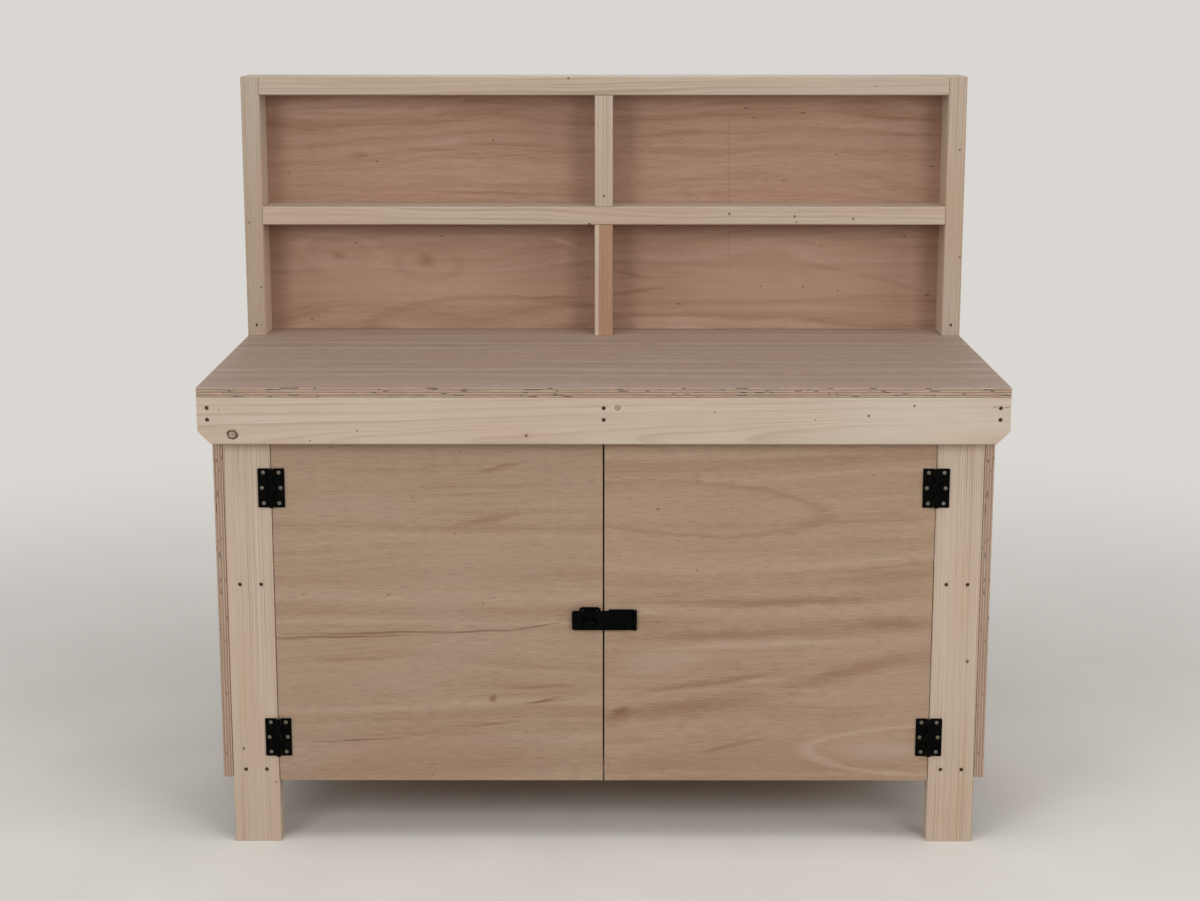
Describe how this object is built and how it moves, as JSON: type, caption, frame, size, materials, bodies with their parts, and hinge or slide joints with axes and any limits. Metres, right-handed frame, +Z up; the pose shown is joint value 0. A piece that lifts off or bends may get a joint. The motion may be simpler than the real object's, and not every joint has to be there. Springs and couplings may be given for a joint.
{
  "type": "workbench with cabinet doors",
  "caption": "Timber workbench with a plywood top, a lockable cupboard with hinged doors below it and an open shelf unit along the back of the top.",
  "frame": {"origin": "on the floor, under the middle of the bench", "axes": "+X along the width to the right as seen from the front, +Y from the doors towards the back, +Z up"},
  "size_m": [1.5, 0.7, 1.44],
  "materials": {
    "pine": "planed softwood, unfinished",
    "top_plywood": "hardwood-faced plywood, sanded, unfinished",
    "door_plywood": "hardwood-faced plywood, sanded, unfinished",
    "back_plywood": "hardwood-faced plywood, sanded, unfinished",
    "black_steel": "black powder coat, satin",
    "bright_steel": "zinc plated"
  },
  "bodies": {
    "bench_frame": {"worktop": "top_plywood", "front_apron": "pine", "rear_apron": "pine", "end_rail_left": "pine", "end_rail_right": "pine", "centre_rail": "pine", "front_leg_left": "pine", "front_leg_right": "pine", "rear_leg_left": "pine", "rear_leg_right": "pine", "side_panel_left": "door_plywood", "side_panel_right": "door_plywood", "cabinet_back": "back_plywood", "base_rail_front": "pine", "base_rail_rear": "pine", "mid_rail_front": "pine", "mid_rail_rear": "pine", "base_shelf": "door_plywood", "mid_shelf": "door_plywood", "hutch_upright_left": "pine", "hutch_upright_right": "pine", "hutch_top_rail": "pine", "hutch_shelf": "pine", "hutch_post_upper": "pine", "hutch_post_lower": "pine", "hutch_back": "back_plywood", "left_top_hinge_frame_leaf": "black_steel", "left_top_hinge_pin": "bright_steel", "left_bottom_hinge_frame_leaf": "black_steel", "left_bottom_hinge_pin": "bright_steel", "right_top_hinge_frame_leaf": "black_steel", "right_top_hinge_pin": "bright_steel", "right_bottom_hinge_frame_leaf": "black_steel", "right_bottom_hinge_pin": "bright_steel"},
    "left_door": {"left_door": "door_plywood", "left_top_hinge_door_leaf": "black_steel", "left_bottom_hinge_door_leaf": "black_steel", "staple_plate": "black_steel", "staple_loop": "black_steel"},
    "right_door": {"right_door": "door_plywood", "right_top_hinge_door_leaf": "black_steel", "right_bottom_hinge_door_leaf": "black_steel", "hasp_fixed_leaf": "black_steel", "hasp_pin": "bright_steel"},
    "hasp_flap": {"hasp_flap": "black_steel"}
  },
  "joints": [
    {"name": "right_door_hinge", "type": "hinge", "parent": "bench_frame", "child": "right_door", "pos_m": [0.6223, -0.3165, 0.457], "axis": [0, 0, 1], "range_deg": [0, 170]},
    {"name": "left_door_hinge", "type": "hinge", "parent": "bench_frame", "child": "left_door", "pos_m": [-0.6223, -0.3165, 0.457], "axis": [0, 0, -1], "range_deg": [0, 170]},
    {"name": "hasp_flap_hinge", "type": "hinge", "parent": "right_door", "child": "hasp_flap", "pos_m": [0.059, -0.3161, 0.446], "axis": [0, 0, 1], "range_deg": [0, 178]}
  ],
  "couplings": [
    {"joint": "left_door_hinge", "follows": "right_door_hinge", "ratio": 0.6}
  ]
}
